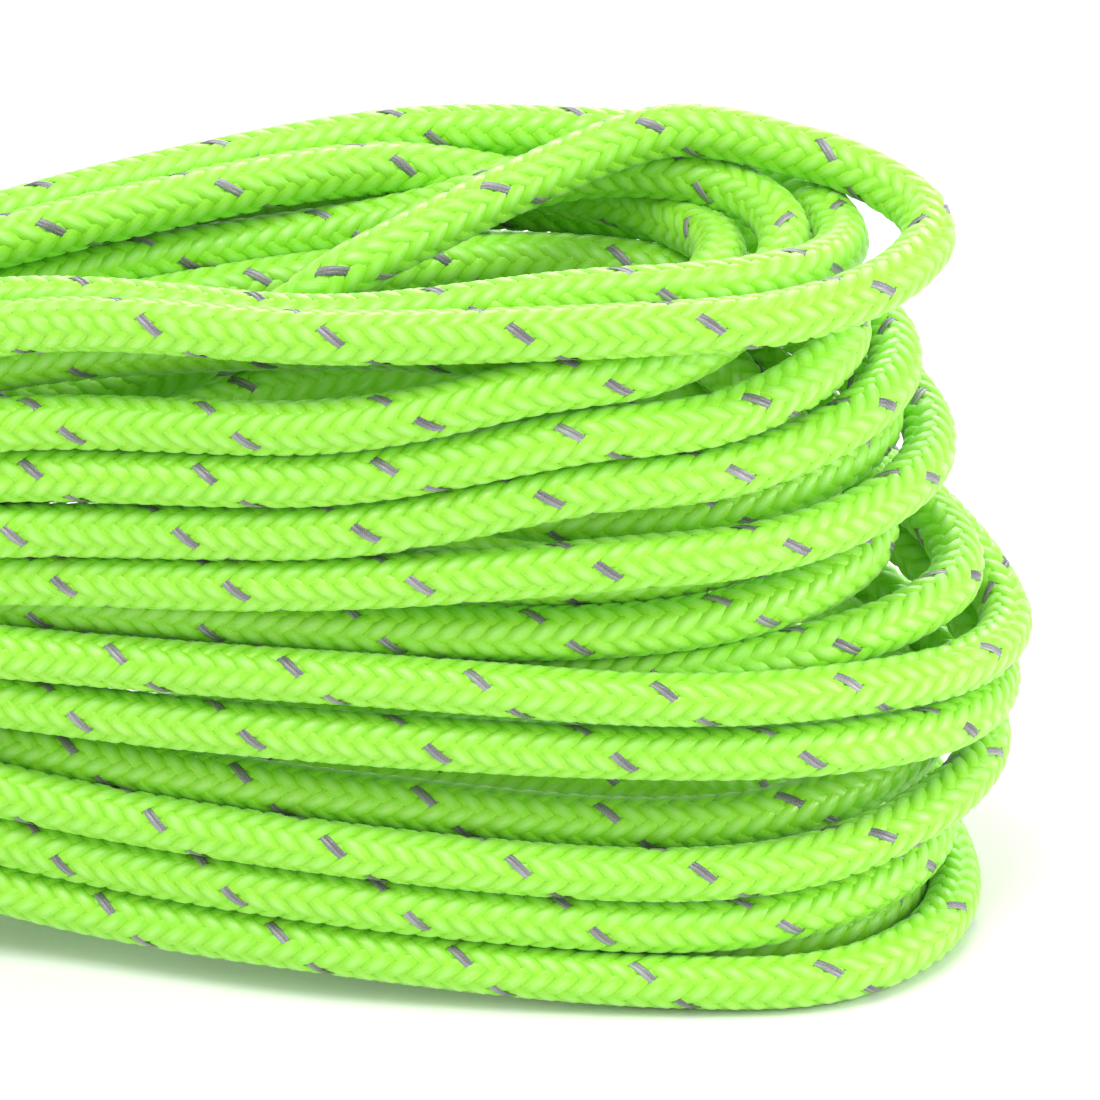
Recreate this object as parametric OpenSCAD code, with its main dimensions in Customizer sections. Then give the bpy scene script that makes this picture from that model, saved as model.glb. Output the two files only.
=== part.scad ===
// A thin kernmantle accessory cord wound into a tied hank.
// The loops lie along X, the hank rests on z = 0, and -Y is its front.

/* [Cord] */
// Outside diameter of the cord
cord_d = 4; // [3.5:0.1:4.5]
// Wall thickness of the braided sheath
sheath_wall = 0.55; // [0.4:0.05:0.6]
// Yarns in the ring around the middle core yarn
ring_yarns = 6; // [5:1:6]

/* [Hank] */
// Length of the hank, from loop tip to loop tip
hank_l = 238; // [220:1:260]
// Height of the hank at the flared ends of its loops
hank_h = 55; // [50:1:60]
// Depth of the hank, front to back, at the flared ends
hank_w = 41; // [36:1:46]
// Distance from the middle to where the loops start to flare
neck_x = 44; // [40:1:50]
// Distance from the middle to where the loops are fullest
full_x = 92; // [85:1:96]

/* [Waist] */
// Diameter of the bundle of strands inside the wraps
bundle_d = 26; // [24:1:28]
// Height of the middle of the waist above the surface
waist_z = 27; // [25:1:30]
// Turns of cord wrapped round the waist
wraps = 6; // [4:1:7]

/* [Ends] */
// Length of open sheath and core modelled at each end
sheath_l = 8; // [6:0.5:9]
// Length of the heat-sealed tip
tip_l = 2.5; // [2:0.25:4]
// Angle between the hank and the straight end of each tail
tail_turn = 50; // [45:1:60]

/* [Hidden] */
cord_r = cord_d / 2;
bore_r = cord_r - sheath_wall;
waist_half = wraps * cord_d / 2;
wrap_in_r = bundle_d / 2;
wrap_out_r = wrap_in_r + cord_d;
edge_r = 6;
slab = 0.5;

// A yarn sits in the bore beside its neighbours with a little air between them.
yarn_gap = 0.01;
yarn_ring_r = (bore_r - yarn_gap) * 2 / 3;
yarn_r = yarn_ring_r / 2 - yarn_gap;

// Sections of a lobe: distance along X, depth, lowest and highest point.
neck_section = [neck_x, 25, 4, 52.5];
flare_section = [70, 35, 0, hank_h];
full_section = [full_x, hank_w, 0, hank_h];
tip_section = [hank_l / 2 - slab, 18, 6, 46];
shoulder_section = [hank_l / 2 - 8, 32, 0, hank_h];

// Route of the front tail, from the end face of the wraps to its straight end.
tail_route = [
    [-12, -13, 19.5], [-16, -13.2, 18.4], [-19.6, -12.6, 15], [-22.4, -11, 11], [-25, -9.2, 7.2],
    [-28, -8, 4.2], [-31, -8.2, 2.5], [-33.6, -10.1, 2], [-36, -13, 2]
];
steps_per_leg = 3;
tail_sides = 12;
tail_end = tail_route[len(tail_route) - 1];
wrap_way = [-1, 0, 0];
end_way = [-cos(tail_turn), -sin(tail_turn), 0];

yarn_numbers = [1 : ring_yarns + 1];

// Catmull-Rom point on the leg from p1 to p2 of a route.
function spline(p0, p1, p2, p3, t) =
    0.5 * (2 * p1 + (p2 - p0) * t + (2 * p0 - 5 * p1 + 4 * p2 - p3) * t * t
        + (3 * p1 - p0 - 3 * p2 + p3) * t * t * t);

// The cord lies on the surface and never sinks below it.
function above_surface(p) = [p[0], p[1], max(p[2], cord_r)];

function smooth(route) = concat(
    [for (i = [0 : len(route) - 2], s = [0 : steps_per_leg - 1])
        above_surface(spline(
            route[max(i - 1, 0)], route[i], route[i + 1],
            route[min(i + 2, len(route) - 1)], s / steps_per_leg
        ))],
    [route[len(route) - 1]]
);

function unit(v) = v / norm(v);

// Each end of the tail is square to what it meets, so that the two faces lie flat on each other.
function heading(points, i) =
    i == 0 ? wrap_way
        : i == len(points) - 1 ? end_way : unit(points[i + 1] - points[i - 1]);

function ring(centre, along, r, sides) =
    let (side = unit(cross([0, 0, 1], along)), up = cross(along, side))
    [for (k = [0 : sides - 1])
        centre + r * (cos(360 * k / sides) * side + sin(360 * k / sides) * up)];

// A round tube of one radius swept along a route, closed by a flat face at each end.
module swept_tube(route, r, sides) {
    points = smooth(route);
    last = len(points) - 1;
    vertices = [for (i = [0 : last]) each ring(points[i], heading(points, i), r, sides)];
    walls = [for (i = [0 : last - 1], k = [0 : sides - 1])
        [i * sides + k, i * sides + (k + 1) % sides,
            (i + 1) * sides + (k + 1) % sides, (i + 1) * sides + k]];
    caps = [
        [for (k = [sides - 1 : -1 : 0]) k],
        [for (k = [0 : sides - 1]) last * sides + k]
    ];
    polyhedron(vertices, concat(walls, caps));
}

// One thin cross-section of a lobe, with rounded corners.
module section(s, r) {
    x = s[0];
    half = s[1] / 2 - r;
    for (y = [-half, half], z = [s[2] + r, s[3] - r])
        translate([x, y, z]) rotate([0, 90, 0]) cylinder(h = slab, r = r, $fn = 32);
}

// Outer form of the loops on the +X side: a neck that leaves the wraps, then a full rounded end.
module lobe() {
    hull() {
        translate([waist_half, 0, waist_z])
            rotate([0, 90, 0]) cylinder(h = slab, r = wrap_in_r, $fn = 32);
        section(neck_section, edge_r);
    }
    hull() {
        section(neck_section, edge_r);
        section(flare_section, edge_r);
        section(full_section, edge_r);
        section(shoulder_section, edge_r);
        section(tip_section, edge_r);
    }
}

// Stands what is drawn along +Z on the open end of the front tail, pointing outwards.
module on_tail_end() {
    translate(tail_end) rotate([0, 0, 180 + tail_turn]) rotate([0, 90, 0]) children();
}

// What belongs to the back of the hank is its front turned half round.
module at_back() {
    rotate([0, 0, 180]) children();
}

module right_loops() {
    color("greenyellow") lobe();
}

module left_loops() {
    color("greenyellow") mirror([1, 0, 0]) lobe();
}

// The loops' strands where they pass side by side through the wraps.
module waist_strands() {
    color("limegreen")
        translate([-waist_half, 0, waist_z]) rotate([0, 90, 0])
            cylinder(h = 2 * waist_half, r = wrap_in_r, $fn = 64);
}

// The turns that bind the waist, as one ring with a rounded edge at each side.
module wrap_turns() {
    color("greenyellow")
        translate([-waist_half, 0, waist_z]) rotate([0, 90, 0])
            rotate_extrude($fn = 64)
                difference() {
                    translate([wrap_in_r, 0]) square([cord_d, 2 * waist_half]);
                    for (end = [0, 1])
                        translate([wrap_out_r, 2 * waist_half * end])
                            rotate(45) square(0.8, center = true);
                }
}

module front_tail() {
    color("greenyellow") swept_tube(tail_route, cord_r, tail_sides);
}

module back_tail() {
    at_back() front_tail();
}

// The braided sheath round the core: a plain tube with a true bore.
module front_sheath_end() {
    color("greenyellow")
        on_tail_end()
            difference() {
                cylinder(h = sheath_l, r = cord_r, $fn = 48);
                translate([0, 0, -1]) cylinder(h = sheath_l + 2, r = bore_r, $fn = 48);
            }
}

module back_sheath_end() {
    at_back() front_sheath_end();
}

// Sheath and core melted into one plug with a rounded nose.
module front_sealed_tip() {
    nose = 1.2;
    color("yellowgreen")
        on_tail_end() translate([0, 0, sheath_l])
            rotate_extrude($fn = 48)
                polygon([
                    [0, 0], [cord_r, 0], [cord_r, tip_l - nose],
                    for (a = [15 : 15 : 75])
                        [cord_r - nose + nose * cos(a), tip_l - nose + nose * sin(a)],
                    [cord_r - nose, tip_l], [0, tip_l]
                ]);
}

module back_sealed_tip() {
    at_back() front_sealed_tip();
}

// Core yarn 1 is the middle one, and the rest stand round it.
module front_core_yarn(number) {
    turn = 360 * (number - 2) / ring_yarns;
    reach = number == 1 ? 0 : yarn_ring_r;
    color("white")
        on_tail_end()
            translate([reach * cos(turn), reach * sin(turn), 0])
                cylinder(h = sheath_l, r = yarn_r, $fn = 24);
}

right_loops();
left_loops();
waist_strands();
wrap_turns();
front_tail();
front_sheath_end();
front_sealed_tip();
back_tail();
back_sheath_end();
back_sealed_tip();
for (i = yarn_numbers) {
    front_core_yarn(i);
    at_back() front_core_yarn(i);
}
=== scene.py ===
"""A hank of thin accessory cord: the braided sheath plait by plait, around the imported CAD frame."""

import math

import bpy
import numpy as np
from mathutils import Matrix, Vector
from mathutils.kdtree import KDTree


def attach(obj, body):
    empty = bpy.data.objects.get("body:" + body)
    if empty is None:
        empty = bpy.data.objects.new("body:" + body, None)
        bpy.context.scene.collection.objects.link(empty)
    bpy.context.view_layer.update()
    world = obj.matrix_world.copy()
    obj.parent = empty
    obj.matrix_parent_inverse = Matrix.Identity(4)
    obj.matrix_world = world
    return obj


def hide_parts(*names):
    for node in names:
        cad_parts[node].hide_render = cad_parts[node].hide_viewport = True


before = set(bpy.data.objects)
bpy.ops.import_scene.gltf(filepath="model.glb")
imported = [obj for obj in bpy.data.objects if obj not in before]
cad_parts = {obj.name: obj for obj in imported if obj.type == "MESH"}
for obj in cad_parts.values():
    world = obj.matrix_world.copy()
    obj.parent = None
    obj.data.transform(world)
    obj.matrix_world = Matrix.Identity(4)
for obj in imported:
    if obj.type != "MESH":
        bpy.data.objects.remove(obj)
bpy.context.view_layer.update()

MM = 0.001

# ---------------------------------------------------------------- sizes, in metres
CORD_D = 4 * MM
CORD_R = CORD_D / 2
NECK_X = 44 * MM          # where the loops start to flare
MID_X = 69 * MM           # halfway along the flare
DIVE_X = 61.5 * MM        # where the top loop goes down between the others
FAN_X = 22 * MM           # where the strands fan out behind the wraps
WAIST_Z = 27 * MM         # height of the bound waist
WRAP_R = 15.4 * MM        # radius of the binding turns, at the middle of the cord
WRAP_FIRST_X = 9.6 * MM
WRAP_LAST_X = -9.8 * MM
WRAP_TURNS = 5
STEPS_PER_WRAP = 14
PITCH_IN_WAIST = 3.9 * MM
WAIST_COLUMNS = (4, 5, 6, 6, 6, 5, 4)
WAIST_HALF = 6 * MM       # half the stretch in which the strands lie straight under the wraps
FAN_SHARE = 0.36          # how far towards its neck a strand has moved where it fans out
ROUND_END = (-62, -32, 0, 32, 62)  # degrees round the end of a loop at which it has a point

# Route of the front tail from its sealed end to the wraps; the back tail is the same, turned half round.
TAIL_ROUTE = [
    (-0.04275, -0.02104, 0.002), (-0.0405, -0.01836, 0.002), (-0.03825, -0.01568, 0.002),
    (-0.036, -0.013, 0.002), (-0.0336, -0.0101, 0.002), (-0.031, -0.0082, 0.0025),
    (-0.028, -0.008, 0.0042), (-0.025, -0.0092, 0.0072), (-0.0224, -0.011, 0.011),
    (-0.0196, -0.0126, 0.015), (-0.016, -0.0132, 0.0184),
]

# Where the cord comes onto the binding turns, and where it leaves them for the front tail.
ONTO_WRAPS = [
    (0.026, -0.001, WAIST_Z + WRAP_R + 0.6 * MM), (0.018, 0.0005, WAIST_Z + WRAP_R + 0.2 * MM),
]
OFF_WRAPS = [(-0.0112, -0.0150, 0.0228), (-0.0133, -0.0141, 0.0205)]

# The loops of one lobe, from the first laid, at the bottom, to the last, on top, in millimetres.
# Each has its depth and height on the front at the neck, the middle and the shoulder, then the middle of
# its tip, the length of its round end, and its depth and height on the back from shoulder to neck. The top
# loop has one more place on the back, where it dives between the others.
LOOPS = [
    ([(-10, 5.8), (-17, 4.1), (-19, 2.1)], (113.2, -3, 2.1), 14, [(17, 6), (16.5, 8), (9.5, 9)]),
    ([(-6, 11), (-12.5, 8.2), (-15.2, 3)], (109.4, -4, 2.6), 18, [(13.5, 2.2), (12.5, 4.5), (6, 8)]),
    ([(-10, 9), (-17, 7.4), (-18, 5.8)], (111.7, 0, 6.2), 20, [(18, 14.5), (17, 16), (10, 16.5)]),
    ([(-7.5, 15), (-13.6, 14.2), (-14, 12.3)], (111, 2, 13), 20, [(14, 21.2), (13, 22.3), (6.5, 21)]),
    ([(-10, 13), (-17, 11.6), (-18, 10.2)], (115.4, 0, 12.8), 22, [(18, 22.2), (17, 23.9), (10, 24)]),
    ([(-10, 20.4), (-17, 20.7), (-18, 19.9)], (116.1, 0, 17.7), 22, [(18, 28.6), (17, 29.6), (10, 28.6)]),
    ([(-10, 24.8), (-17, 25.6), (-18, 24.7)], (116.8, 0, 21.9), 27, [(18, 32.7), (17, 33.8), (10, 32.8)]),
    ([(-5.5, 24.5), (-12, 25), (-15.5, 25.5)], (113.4, 0, 26.9), 24, [(14, 35), (13, 35.6), (6.5, 32.5)]),
    ([(-7, 26), (-14, 27.8), (-15, 28.4)], (106.9, -1, 29.6), 20, [(18, 38), (17, 38.8), (10, 37)]),
    ([(-6, 31.5), (-12.5, 32), (-14, 30.6)], (103, 0, 32.5), 16, [(14, 39.5), (13, 39.8), (6.5, 37)]),
    ([(-10, 29.9), (-17, 33), (-18, 35)], (111.1, 0, 36.5), 22, [(18, 42.3), (17, 43.3), (10, 41.4)]),
    ([(-6, 36), (-12.5, 38), (-14, 36.6)], (107.4, 1, 38.3), 20, [(14, 43.8), (13, 44), (6.5, 41.3)]),
    ([(-10, 33.9), (-17, 37), (-18, 40.9)], (108.6, 0, 43), 22, [(18, 46.8), (17, 47.6), (10, 45.7)]),
    ([(-10, 37.8), (-17, 41.2), (-18, 45)], (104.8, -2, 46.6), 18, [(9, 47.6), (8.5, 46.2), (6, 42)]),
    ([(-6.5, 45.6), (-9.8, 48.6), (-13.5, 49.7)], (96, 1, 51.5), 14, [(14, 50.5), (13, 51.8), (6.5, 49)]),
    ([(-10, 42.2), (-17, 45.3), (-18, 49)], (100.7, 1, 52), 17, [(10.5, 52.3), (12, 48), (7.5, 45)]),
    ([(-6, 49.2), (-13.1, 51.5), (-14, 53.8)], (104.5, 0, 52.3), 18, [(17.5, 53), (17, 52.5), (10, 48.9)]),
    ([(-10, 49.7), (-17, 52.1), (-18, 53.2)], (110.7, 0, 53), 20,
     [(8.5, 55.6), (-3.5, 51.2), (-4, 46), (-2, 40)]),
]

# ---------------------------------------------------------------- camera
ELEVATION = math.radians(25)
VIEW_WIDTH = 80 * MM
CAMERA_AWAY = 0.9
SENSOR = 36.0             # in millimetres, as the camera wants it
LOOK_AT = Vector((83.6 * MM, 0, 27.6 * MM))

camera = bpy.data.objects.new("camera", bpy.data.cameras.new("camera"))
bpy.context.collection.objects.link(camera)
camera.data.sensor_width = SENSOR
camera.data.lens = SENSOR * CAMERA_AWAY / VIEW_WIDTH
camera.data.clip_start = 0.05
camera.data.clip_end = 20
camera.location = LOOK_AT + CAMERA_AWAY * Vector((0, -math.cos(ELEVATION), math.sin(ELEVATION)))
camera.rotation_euler = (math.pi / 2 - ELEVATION, 0, 0)
bpy.context.scene.camera = camera


# ---------------------------------------------------------------- the cord's route
def half_turn(loop):
    """Points of one loop on the +X side, from its neck at the front round its tip to its neck at the back."""
    front, (tip_x, tip_y, tip_z), reach, back = loop
    centre_x = tip_x - reach
    points = [(NECK_X / MM, *front[0]), (MID_X / MM, *front[1]), (centre_x, *front[2])]
    for degrees in ROUND_END:
        side = front[2] if degrees < 0 else back[0]
        share = abs(math.sin(math.radians(degrees)))
        x = centre_x + reach * math.cos(math.radians(degrees))
        points.append((x, tip_y + share * (side[0] - tip_y), tip_z + share ** 2 * (side[1] - tip_z)))
    stations = [centre_x, MID_X / MM, DIVE_X / MM, NECK_X / MM]
    if len(back) == 3:
        stations.remove(DIVE_X / MM)
    points += [(x, *place) for x, place in zip(stations, back)]
    return np.array(points) * MM


def waist_places(strands):
    """A place in the bound waist for each strand, which keeps its order front to back and bottom to top."""
    order = sorted(range(len(strands)), key=lambda i: (strands[i][1], strands[i][2]))
    places, taken = {}, 0
    middle = (len(WAIST_COLUMNS) - 1) / 2
    for column, count in enumerate(WAIST_COLUMNS):
        group = sorted(order[taken:taken + count], key=lambda i: strands[i][2])
        taken += count
        for row, i in enumerate(group):
            y = (column - middle) * PITCH_IN_WAIST * math.sqrt(3) / 2
            z = WAIST_Z + (row - (count - 1) / 2) * PITCH_IN_WAIST
            places[i] = np.array((0, y, z))
    return places


def half_round(points):
    """The points turned half round about Z."""
    return points * np.array((-1, -1, 1))


def control_points():
    """The whole route: back tail, loops of both lobes in turn, binding turns, front tail."""
    right = [half_turn(loop) for loop in LOOPS]
    left = [half_round(half_turn(loop)) for loop in LOOPS]
    count = len(LOOPS)
    # Strand 2i goes back through the waist into left loop i, and strand 2i + 1 forward into right loop i.
    strands = []
    for i in range(count):
        before = right[i - 1][-1] if i else left[0][0]
        strands.append((before * (0, 1, 1) + left[i][0] * (0, 1, 1)) / 2)
        strands.append((left[i][-1] * (0, 1, 1) + right[i][0] * (0, 1, 1)) / 2)
    places = waist_places(strands)
    route = [half_round(np.array(TAIL_ROUTE))]
    previous = None
    for i in range(count):
        for lobe, place, toward in ((left, places[2 * i], -1), (right, places[2 * i + 1], 1)):
            if previous is not None:
                route.append(fan(place, -toward, previous[-1]))
            route.append(place + np.array([(-WAIST_HALF, 0, 0), (WAIST_HALF, 0, 0)]) * toward)
            route.append(fan(place, toward, lobe[i][0]))
            route.append(lobe[i])
            previous = lobe[i]
    route.append(binding())
    route.append(np.array(TAIL_ROUTE[::-1]))
    return np.vstack(route)


def fan(place, toward, neck):
    """The point between the waist and the neck of a strand."""
    point = place * (1 - FAN_SHARE) + neck * (0, FAN_SHARE, FAN_SHARE)
    point[0] = toward * FAN_X
    return point[None]


def binding():
    """The turns wound round the waist, from over its top at the right to its front at the left."""
    start, end = math.radians(90), math.radians(180 + 360 * WRAP_TURNS)
    steps = STEPS_PER_WRAP * WRAP_TURNS
    turns = list(ONTO_WRAPS)
    for k in range(1, steps + 1):
        share = k / steps
        angle = start + (end - start) * share
        x = WRAP_FIRST_X + (WRAP_LAST_X - WRAP_FIRST_X) * share
        turns.append((x, WRAP_R * math.cos(angle), WAIST_Z + WRAP_R * math.sin(angle)))
    return np.array(turns + OFF_WRAPS)


SPLINE_STEPS = 16         # pieces between two points of the route before it is cut into even steps


def spline(points, spacing):
    """A centripetal Catmull-Rom curve through the points, cut into even steps."""
    points = np.vstack([2 * points[0] - points[1], points, 2 * points[-1] - points[-2]])
    pieces = []
    for p0, p1, p2, p3 in zip(points, points[1:], points[2:], points[3:]):
        t1 = np.linalg.norm(p1 - p0) ** 0.5
        t2 = t1 + np.linalg.norm(p2 - p1) ** 0.5
        t3 = t2 + np.linalg.norm(p3 - p2) ** 0.5
        t = np.linspace(t1, t2, SPLINE_STEPS + 1)[:-1, None]
        a1 = (t1 - t) / t1 * p0 + t / t1 * p1
        a2 = (t2 - t) / (t2 - t1) * p1 + (t - t1) / (t2 - t1) * p2
        a3 = (t3 - t) / (t3 - t2) * p2 + (t - t2) / (t3 - t2) * p3
        b1 = (t2 - t) / t2 * a1 + t / t2 * a2
        b2 = (t3 - t) / (t3 - t1) * a2 + (t - t1) / (t3 - t1) * a3
        pieces.append((t2 - t) / (t2 - t1) * b1 + (t - t1) / (t2 - t1) * b2)
    return even_steps(np.vstack(pieces + [points[-2][None]]), spacing)


def even_steps(points, spacing):
    """The same line with its points an even distance apart."""
    along = np.concatenate([[0], np.cumsum(np.linalg.norm(np.diff(points, axis=0), axis=1))])
    count = int(round(along[-1] / spacing))
    wanted = np.linspace(0, along[-1], count + 1)
    return np.column_stack([np.interp(wanted, along, points[:, k]) for k in range(3)])


# ---------------------------------------------------------------- laying the cord so that its strands touch
STEP = 2 * MM             # distance between the points that are pushed apart
ROUNDS = 240
TOUCH = 1.012 * CORD_D    # how near two strands may come, middle to middle
REACH = 1.5 * CORD_D      # how near two strands are when they are worth watching
SKIP = int(2.2 * CORD_D / STEP)  # points next to each other along the cord that may be nearer
WATCH_ROUNDS = 12         # rounds between two searches for strands that are near each other
PUSH = 0.9                # share of an overlap that is taken away in a round
LATE = 0.7                # share of the rounds after which the strands are held less
HOLD = 0.04               # pull back to where a strand was laid
HOLD_LATE = 0.01
SMOOTH = 0.5              # how much a point follows its two neighbours
TAIL_POINTS = 24          # points of each tail that aren't moved


def near_pairs(points, skip):
    """Pairs of points that may touch, leaving out those next to each other along the cord."""
    tree = KDTree(len(points))
    for i, p in enumerate(points):
        tree.insert(p, i)
    tree.balance()
    pairs = [(i, j) for i, p in enumerate(points) for _, j, _ in tree.find_range(p, REACH) if j > i + skip]
    return np.array(pairs)


def settle(points, fixed):
    """Pushes touching strands apart a little at a time, while each stays close to where it was laid."""
    laid = points.copy()
    moves = np.where(fixed, 0.0, 1.0)[:, None]
    for turn in range(ROUNDS):
        if turn % WATCH_ROUNDS == 0:
            a, b = near_pairs(points, SKIP).T
        gap = points[b] - points[a]
        far = np.linalg.norm(gap, axis=1)
        close = far < TOUCH
        push = gap[close] * ((TOUCH - far[close]) / np.maximum(far[close], 1e-6) * 0.5)[:, None]
        shift = np.zeros_like(points)
        hits = np.zeros(len(points))
        for side, sign in ((a[close], -1), (b[close], 1)):
            np.add.at(shift, side, sign * push)
            np.add.at(hits, side, 1)
        points = points + moves * shift / np.maximum(hits, 1)[:, None] ** 0.5 * PUSH
        pull = HOLD if turn < LATE * ROUNDS else HOLD_LATE
        points += moves * pull * (laid - points)
        bend = np.zeros_like(points)
        drift = points - laid
        bend[1:-1] = (drift[:-2] + drift[2:]) / 2 - drift[1:-1]
        points += moves * SMOOTH * bend
        points[:, 2] = np.maximum(points[:, 2], CORD_R)
    return points


route = spline(control_points(), STEP)
fixed = np.zeros(len(route), bool)
fixed[:TAIL_POINTS] = fixed[-TAIL_POINTS:] = True
route = settle(route, fixed)
route = spline(route[::2], STEP)

# ---------------------------------------------------------------- the braided sheath
LEAD = 13.2 * MM          # length of cord in which a yarn goes round it once
EACH_WAY = 8              # yarns wound each way
PLAIT = LEAD / 4          # length of cord from one plait of a yarn to its next
RING = LEAD / 32          # distance between the rings of a yarn's mesh
YARN_R = 1.77 * MM        # from the middle of the cord to the middle of a yarn
WEAVE = 0.11 * MM         # how far a yarn moves out over the others and in under them
HALF_WIDTH = 0.61 * MM
CROWN = 0.12 * MM         # height of a yarn's top above its middle
EDGE = -0.06 * MM         # height of its edges
FLAT_TOP = 0.45           # share of a yarn's width that its top takes
RIBBON_ASIDE = 0.155 * MM  # from the middle of the tracer to the middle of each of its two ribbons
RIBBON_HALF_WIDTH = 0.165 * MM
RIBBON_CROWN = 0.055 * MM
CORE_R = 1.6 * MM
CORE_SIDES = 10
CORE_STEP = 1 * MM
CORE_INSET = 0.6 * MM     # from the end of the cord to the end of the core
TIP_LENGTH = 2.5 * MM
YARN_INSET = 0.8 * TIP_LENGTH
TIP_R = 1.98 * MM
TIP_SIDES = 32
TIP_STEPS = 14
TIP_ROUND = 0.45          # share of the tip's length that is rounded over
BAKE_ROW = 224            # rings in one row of the unwrapped yarn


def frames(points):
    """The direction of a line at each of its points, and two directions square to it that don't twist."""
    ahead = np.gradient(points, axis=0)
    ahead /= np.linalg.norm(ahead, axis=1)[:, None]
    side = np.zeros_like(points)
    side[0] = np.cross(ahead[0], (0, 0, 1.0))
    for i in range(1, len(points)):
        side[i] = side[i - 1] - ahead[i] * (side[i - 1] @ ahead[i])
        side[i] /= np.linalg.norm(side[i])
    return side, np.cross(ahead, side)


def around(lines, distance, angle, radius):
    """Points at these distances along the cord, turned by an angle and at a radius from its middle."""
    along, middle, side, up = lines
    at, right, over = (np.column_stack([np.interp(distance, along, line[:, k]) for k in range(3)])
                       for line in (middle, side, up))
    return at + radius[:, None] * (np.cos(angle)[:, None] * right + np.sin(angle)[:, None] * over)


def tube_mesh(name, rings, widths, first=0.0):
    """A closed tube through rings of points. One of its maps is in millimetres along and across it and
    starts at first; the other lays the tube out in rows that fill a square."""
    count, sides = rings.shape[:2]
    i = np.arange(count - 1)[:, None, None]
    k = np.arange(sides)[None, :, None]
    ring = i + np.array((0, 0, 1, 1))
    corner = k + np.array((0, 1, 1, 0))
    faces = (ring * sides + corner % sides).reshape(-1, 4)
    mesh = bpy.data.meshes.new(name)
    mesh.vertices.add(count * sides)
    mesh.vertices.foreach_set("co", rings.reshape(-1).astype(np.float32))
    mesh.loops.add(faces.size + 2 * sides)
    caps = np.concatenate([np.arange(sides)[::-1], (count - 1) * sides + np.arange(sides)])
    mesh.loops.foreach_set("vertex_index", np.concatenate([faces.reshape(-1), caps]).astype(np.int32))
    mesh.polygons.add(len(faces) + 2)
    starts = np.concatenate([np.arange(len(faces)) * 4, [faces.size, faces.size + sides]])
    mesh.polygons.foreach_set("loop_start", starts.astype(np.int32))
    mesh.update(calc_edges=True)
    mesh.shade_smooth()
    if sides == 4:
        # The underside meets the top at a crease, so that only the top of a yarn is rounded.
        ends = np.empty(2 * len(mesh.edges), np.int32)
        mesh.edges.foreach_get("vertices", ends)
        places = ends.reshape(-1, 2) % sides
        crease = (places[:, 0] == places[:, 1]) & np.isin(places[:, 0], (0, 3))
        mesh.attributes.new("sharp_edge", "BOOLEAN", "EDGE").data.foreach_set("value", crease)
    rows = math.ceil((count - 1) / BAKE_ROW)
    across = np.concatenate([[0], np.cumsum(widths)])
    plain = np.stack([first + ring * RING + 0 * corner, across[corner] + 0 * ring], -1) / MM
    share = across[corner] / across[-1] + 0 * ring
    packed = np.stack([(i % BAKE_ROW + np.array((0, 0, 1, 1)) + 0 * corner) / BAKE_ROW,
                       (i // BAKE_ROW + 0.05 + 0.9 * share) / rows], -1)
    for layer, values in (("yarn", plain), ("OFBake", packed)):
        flat = np.concatenate([values.reshape(-1), np.tile(values[-1, 0, 0], 2 * sides)])
        mesh.uv_layers.new(name=layer).data.foreach_set("uv", flat.astype(np.float32))
    piece = bpy.data.objects.new(name, mesh)
    bpy.context.collection.objects.link(piece)
    return piece


def yarn(lines, name, way, start, offset=0.0, half_width=HALF_WIDTH, crown=CROWN, edge=EDGE):
    """One yarn of the braid, wound to the right (way 1) or to the left (way -1), over two and under two."""
    distance = np.arange(YARN_INSET, lines[0][-1] - YARN_INSET, RING)
    angle = way * 2 * math.pi * distance / LEAD + start
    # The crossings lie on 2 * EACH_WAY lines along the cord, which column counts. A yarn is on top for two
    # of them and below for the next two, and top_column is in the middle of a stretch on top.
    column = angle * 2 * EACH_WAY / (2 * math.pi)
    top_column = 2.5 if way > 0 else 0.5
    wave = np.cos(math.pi / 2 * (column - top_column))
    radius = YARN_R + WEAVE * wave * (1.25 - 0.25 * wave ** 2)
    slope = math.atan(2 * math.pi * YARN_R / LEAD)
    rings = []
    for share, height in ((-1, edge), (-FLAT_TOP, crown), (FLAT_TOP, crown), (1, edge)):
        beside = offset + share * half_width
        moved = distance - way * beside * math.sin(slope)
        turned = angle + beside * math.cos(slope) / YARN_R
        rings.append(around(lines, moved, turned, radius + height))
    # The slopes are a little longer than they look from above.
    widths = half_width * np.array((0.6, 2 * FLAT_TOP, 0.6, 2))
    # The map starts so that the middle of each plait lies at a whole number of plaits along it.
    first = way * (column[0] - top_column) / 4 * PLAIT
    return tube_mesh(name, np.stack(rings, 1), widths, first)


SMOOTH_STEP = 0.25 * MM
middle = even_steps(spline(route[::2], SMOOTH_STEP), RING)
along = np.linspace(0, RING * (len(middle) - 1), len(middle))
lines = (along, middle, *frames(middle))
cord_length = float(np.linalg.norm(np.diff(middle, axis=0), axis=1).sum())

yarns = []
for j in range(1, EACH_WAY):
    yarns.append(yarn(lines, f"sheath_yarn_right_{j + 1}", 1, 2 * math.pi * j / EACH_WAY))
for j in range(EACH_WAY):
    yarns.append(yarn(lines, f"sheath_yarn_left_{j + 1}", -1, 2 * math.pi * j / EACH_WAY))
# The tracer takes the place of the first yarn to the right.
tracers = []
for name, side in (("a", -1), ("b", 1)):
    tracers.append(yarn(lines, f"reflective_ribbon_{name}", 1, 0, side * RIBBON_ASIDE,
                        RIBBON_HALF_WIDTH, RIBBON_CROWN, 0))

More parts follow.
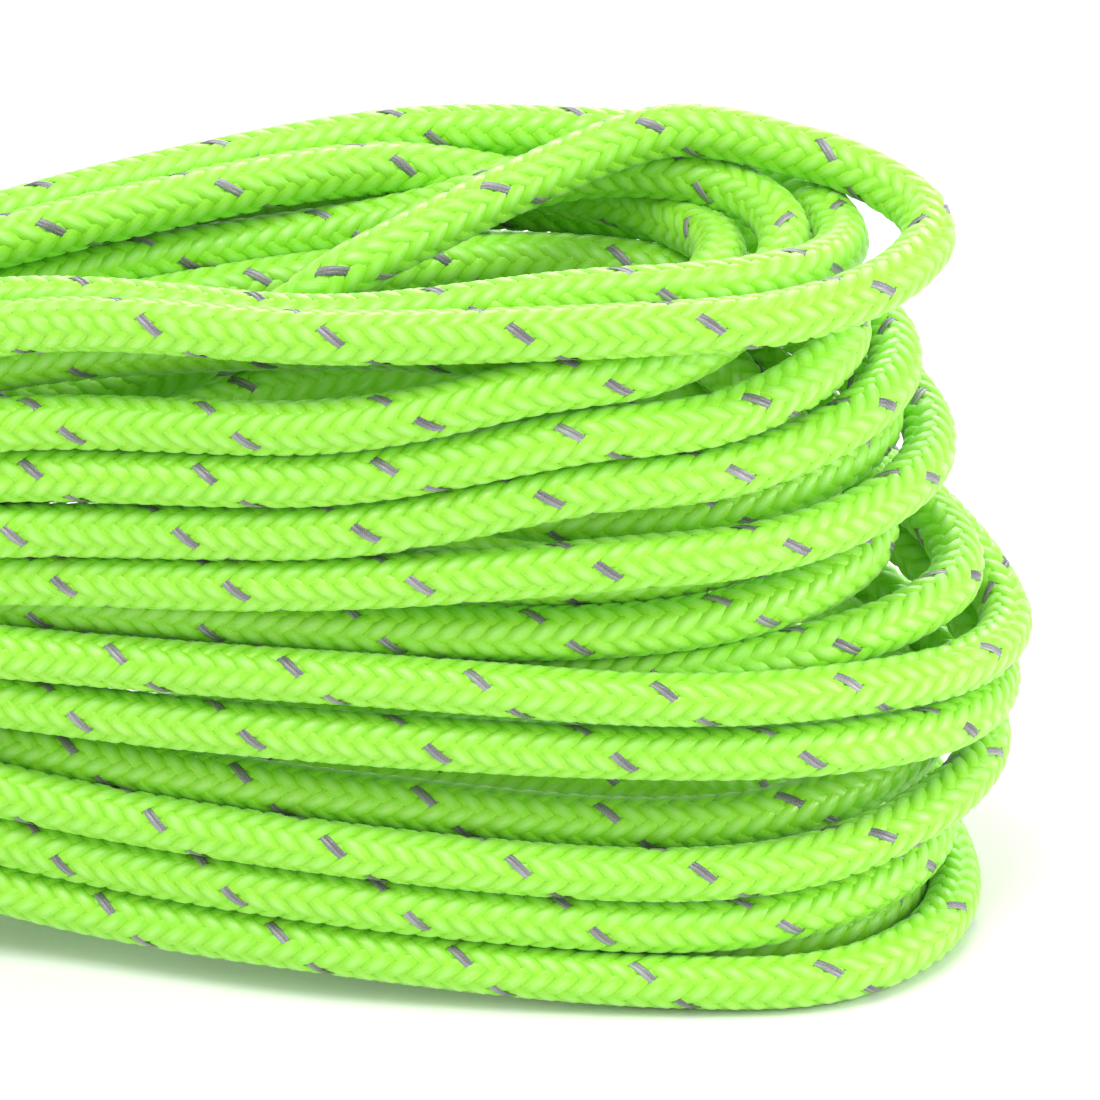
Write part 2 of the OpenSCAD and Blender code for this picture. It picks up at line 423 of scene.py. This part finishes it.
core_rings = []
core_at = np.linspace(CORE_INSET, along[-1] - CORE_INSET, int(cord_length / CORE_STEP))
for k in range(CORE_SIDES):
    angle = np.full(len(core_at), 2 * math.pi * k / CORE_SIDES)
    core_rings.append(around(lines, core_at, angle, np.full(len(core_at), CORE_R)))
core = tube_mesh("core", np.stack(core_rings, 1), np.full(CORE_SIDES, 2 * math.pi * CORE_R / CORE_SIDES))


def sealed_tip(lines, name, end, inward):
    """The melted end of the cord: the plaits run together into a rounded, slightly lumpy cap."""
    rings = []
    rounded = TIP_ROUND * TIP_LENGTH
    angle = 2 * math.pi * np.arange(TIP_SIDES) / TIP_SIDES
    for step in range(TIP_STEPS + 1):
        # Back is the distance from the very end; the rings lie closer together towards it.
        back = TIP_LENGTH * (1 - step / TIP_STEPS) ** 1.6
        shape = math.sqrt(max(1 - (1 - back / rounded) ** 2, 0)) if back < rounded else 1
        ridge = 0.07 * MM * (back / TIP_LENGTH) * np.cos(2 * EACH_WAY * angle)
        lump = 0.05 * MM * np.sin(3 * angle + 2 * back / MM) * shape
        radius = np.maximum(shape * (TIP_R + ridge) + lump, 0.05 * MM)
        distance = np.full(TIP_SIDES, end + inward * back)
        rings.append(around(lines, distance, inward * -angle, radius))
    return tube_mesh(name, np.stack(rings, 0), np.full(TIP_SIDES, 2 * math.pi * TIP_R / TIP_SIDES))


tips = [sealed_tip(lines, "sealed_tip_back", 0, 1), sealed_tip(lines, "sealed_tip_front", along[-1], -1)]


# ---------------------------------------------------------------- materials
YARN_DARK = (0.26, 0.74, 0.025, 1)
YARN_LIGHT = (0.36, 0.80, 0.045, 1)
# Painted shade at the edges of each yarn, where it runs down between the plaits.
YARN_PAINTED_EDGE_SHADE = (0.18, 0.62, 0.015, 1)
# Yellowish patches at random: partly the yarn's own tone, partly a painted highlight that stands for yellow
# glints.
YARN_YELLOW_TONE_AND_GLINT = (0.47, 0.84, 0.06, 1)
# Painted highlight on the crown of each plait.
YARN_PAINTED_HIGHLIGHT = (0.52, 0.90, 0.27, 1)
CORE_DARK = (0.26, 0.70, 0.03, 1)
CORE_LIGHT = (0.42, 0.82, 0.07, 1)
MELT_GREEN = (0.28, 0.72, 0.03, 1)
MELT_BROWN = (0.42, 0.52, 0.05, 1)
FILM_GLINT = (0.75, 0.75, 0.78, 1)
# Painted reflection: each ribbon moves between its two greys in patches along its length, standing in for how
# the film catches the light as it twists.
FILM_REFLECTION_GREYS = ((0.09, 0.22), (0.16, 0.34))  # the darkest and lightest grey of each of the two ribbons


def new_material(name, **sockets):
    """A material with its plain values set on the shader, and the node tree to build on."""
    material = bpy.data.materials.new(name)
    material.use_nodes = True
    shader = material.node_tree.nodes["Principled BSDF"]
    for socket, value in sockets.items():
        shader.inputs[socket.replace("_", " ")].default_value = value
    return material, material.node_tree, shader


def node(tree, kind, links=(), **settings):
    """A node with its settings made and its inputs linked or set."""
    made = tree.nodes.new(kind)
    for key, value in settings.items():
        setattr(made, key, value)
    for socket, value in dict(links).items():
        if isinstance(value, bpy.types.NodeSocket):
            tree.links.new(value, made.inputs[socket])
        else:
            made.inputs[socket].default_value = value
    return made


def blend(tree, share, first, second):
    """A mix of two colours by a share from 0 to 1."""
    made = node(tree, "ShaderNodeMix", data_type="RGBA")
    for index, value in ((0, share), (6, first), (7, second)):
        if isinstance(value, bpy.types.NodeSocket):
            tree.links.new(value, made.inputs[index])
        else:
            made.inputs[index].default_value = value
    return made.outputs[2]


def spread(tree, value, low, high, to_low=0.0, to_high=1.0):
    """A value moved from one range to another."""
    made = node(tree, "ShaderNodeMapRange", {"Value": value, "From Min": low, "From Max": high,
                                             "To Min": to_low, "To Max": to_high})
    return made.outputs["Result"]


def maths(tree, operation, *values):
    """One step of arithmetic on values or sockets."""
    return node(tree, "ShaderNodeMath", dict(enumerate(values)), operation=operation).outputs[0]


def noise(tree, at, scale, detail, stretch=None):
    """Noise at a place, drawn out differently in each direction if stretch says so."""
    if stretch:
        at = node(tree, "ShaderNodeMapping", {"Vector": at, "Scale": stretch}).outputs["Vector"]
    return node(tree, "ShaderNodeTexNoise", {"Vector": at, "Scale": scale, "Detail": detail}).outputs["Fac"]


def roughen(tree, shader, height, strength, distance):
    """Small bumps on the surface."""
    bump = node(tree, "ShaderNodeBump", {"Height": height, "Strength": strength, "Distance": distance})
    tree.links.new(bump.outputs["Normal"], shader.inputs["Normal"])


def fabric():
    """Fluorescent green filament yarn, with a painted highlight on the crown of each plait, painted shade at
    its edges and yellowish patches that partly stand for yellow glints.
    """
    material, tree, shader = new_material("fluorescent_yarn", IOR=1.5, Sheen_Weight=0.3,
                                          Sheen_Roughness=0.4, Sheen_Tint=(0.9, 1.0, 0.75, 1))
    at = node(tree, "ShaderNodeUVMap", uv_map="yarn").outputs["UV"]
    filaments = noise(tree, at, 1.0, 2.0, (0.35, 9.0, 1))
    plaits = noise(tree, at, 1.0, 1.0, (0.9, 0.9, 1))
    place = node(tree, "ShaderNodeSeparateXYZ", {"Vector": at})
    turns = maths(tree, "MULTIPLY", place.outputs["X"], 2 * math.pi * MM / PLAIT)
    wave = maths(tree, "COSINE", turns)
    middle_line = 1.05 * HALF_WIDTH / MM
    aside = maths(tree, "ABSOLUTE", maths(tree, "SUBTRACT", place.outputs["Y"], middle_line))
    # Painted highlight: the crown of each plait, at the middle of the yarn where it rides on top, is
    # lightened towards a pale whitish green.
    crown = maths(tree, "MULTIPLY", spread(tree, wave, 0.3, 1.0), spread(tree, aside, 0.45, 0.05))
    # Painted shade: the yarn is darkened towards its edges, where it runs down into the gaps between the
    # plaits.
    edge = spread(tree, aside, 0.42, 0.64, 0.0, 0.3)
    green = blend(tree, spread(tree, filaments, 0.3, 0.7), YARN_DARK, YARN_LIGHT)
    green = blend(tree, edge, green, YARN_PAINTED_EDGE_SHADE)
    # Yellowish patches at random, partly the yarn's own tone and partly painted yellow glints.
    green = blend(tree, spread(tree, plaits, 0.5, 0.75, 0.0, 0.3), green, YARN_YELLOW_TONE_AND_GLINT)
    colour = blend(tree, maths(tree, "MULTIPLY", crown, 0.55), green, YARN_PAINTED_HIGHLIGHT)
    tree.links.new(colour, shader.inputs["Base Color"])
    tree.links.new(spread(tree, plaits, 0.3, 0.7, 0.45, 0.24), shader.inputs["Roughness"])
    roughen(tree, shader, filaments, 0.7, 0.04 * MM)
    return material


def film(name, dark, light):
    """Grey film of glass beads, with a painted reflection: brighter and darker in patches along it, as if it
    caught the light differently as it twists; fine pale speckles are painted glints.
    """
    material, tree, shader = new_material(name, Metallic=0.2)
    at = node(tree, "ShaderNodeUVMap", uv_map="yarn").outputs["UV"]
    # Painted reflection: patches along the film between its darker and lighter grey.
    painted_reflection = noise(tree, at, 1.0, 1.5, (0.28, 0.6, 1))
    fine = noise(tree, at, 14.0, 1.0)
    grey = blend(tree, spread(tree, painted_reflection, 0.38, 0.62), (dark, dark, dark * 1.05, 1),
                 (light, light, light * 1.05, 1))
    speckled = blend(tree, spread(tree, fine, 0.45, 0.75, 0.0, 0.35), grey, FILM_GLINT)
    tree.links.new(speckled, shader.inputs["Base Color"])
    tree.links.new(spread(tree, fine, 0.3, 0.7, 0.5, 0.32), shader.inputs["Roughness"])
    roughen(tree, shader, fine, 0.3, 0.01 * MM)
    return material


def inner():
    """The core between the plaits, tinted by the dye of the sheath."""
    material, tree, shader = new_material("core_under_sheath", Roughness=0.7)
    at = node(tree, "ShaderNodeUVMap", uv_map="yarn").outputs["UV"]
    fibres = noise(tree, at, 3.0, 2.0)
    colour = blend(tree, spread(tree, fibres, 0.35, 0.65), CORE_DARK, CORE_LIGHT)
    tree.links.new(colour, shader.inputs["Base Color"])
    return material


def melted():
    """Heat-sealed yarn: glassy, darker and slightly browned at the very end."""
    material, tree, shader = new_material("melted_yarn", IOR=1.5, Coat_Weight=0.5)
    at = node(tree, "ShaderNodeTexCoord").outputs["Object"]
    blots = noise(tree, at, 900.0, 3.0)
    colour = blend(tree, spread(tree, blots, 0.4, 0.7), MELT_GREEN, MELT_BROWN)
    tree.links.new(colour, shader.inputs["Base Color"])
    tree.links.new(spread(tree, blots, 0.3, 0.7, 0.22, 0.45), shader.inputs["Roughness"])
    roughen(tree, shader, blots, 0.4, 0.1 * MM)
    return material


yarn_material = fabric()
for piece in yarns:
    piece.data.materials.append(yarn_material)
for piece, (dark, light) in zip(tracers, FILM_REFLECTION_GREYS):
    piece.data.materials.append(film(f"{piece.name}_film", dark, light))
core.data.materials.append(inner())
tip_material = melted()
for piece in tips:
    piece.data.materials.append(tip_material)

for piece in (core, *yarns, *tracers, *tips):
    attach(piece, "root")
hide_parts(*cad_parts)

# ---------------------------------------------------------------- floor and light
FLOOR_HALF = 3
LIGHT_SIZE = 0.5
LIT_POINT = (0.06, 0, 0.03)
LIGHTS = (
    ("key", 4.8, (-0.1, -0.25, 0.9)),
    ("side", 4.2, (0.9, -0.2, 0.35)),
    ("back", 3.4, (0.2, 0.8, 0.45)),
)
SKY = 0.77

floor_mesh = bpy.data.meshes.new("floor")
corners = [(x * FLOOR_HALF, y * FLOOR_HALF, 0) for x, y in ((-1, -1), (1, -1), (1, 1), (-1, 1))]
floor_mesh.from_pydata(corners, [], [(0, 1, 2, 3)])
floor = bpy.data.objects.new("floor", floor_mesh)
bpy.context.collection.objects.link(floor)
pale, _, _ = new_material("pale_floor", Base_Color=(0.92, 0.92, 0.92, 1), Roughness=0.9)
floor_mesh.materials.append(pale)


def area_light(name, watts, place):
    """A square soft light that faces the hank."""
    light = bpy.data.lights.new(name, "AREA")
    light.energy = watts
    light.size = LIGHT_SIZE
    lamp = bpy.data.objects.new(name, light)
    bpy.context.collection.objects.link(lamp)
    lamp.location = place
    lamp.rotation_euler = (Vector(LIT_POINT) - Vector(place)).to_track_quat("-Z", "Y").to_euler()


for name, watts, place in LIGHTS:
    area_light(name, watts, place)
world = bpy.data.worlds.new("studio")
bpy.context.scene.world = world
world.use_nodes = True
world.node_tree.nodes["Background"].inputs["Color"].default_value = (1, 1, 1, 1)
world.node_tree.nodes["Background"].inputs["Strength"].default_value = SKY
# The default view transform would turn so strong a green towards grey.
bpy.context.scene.view_settings.view_transform = "Standard"
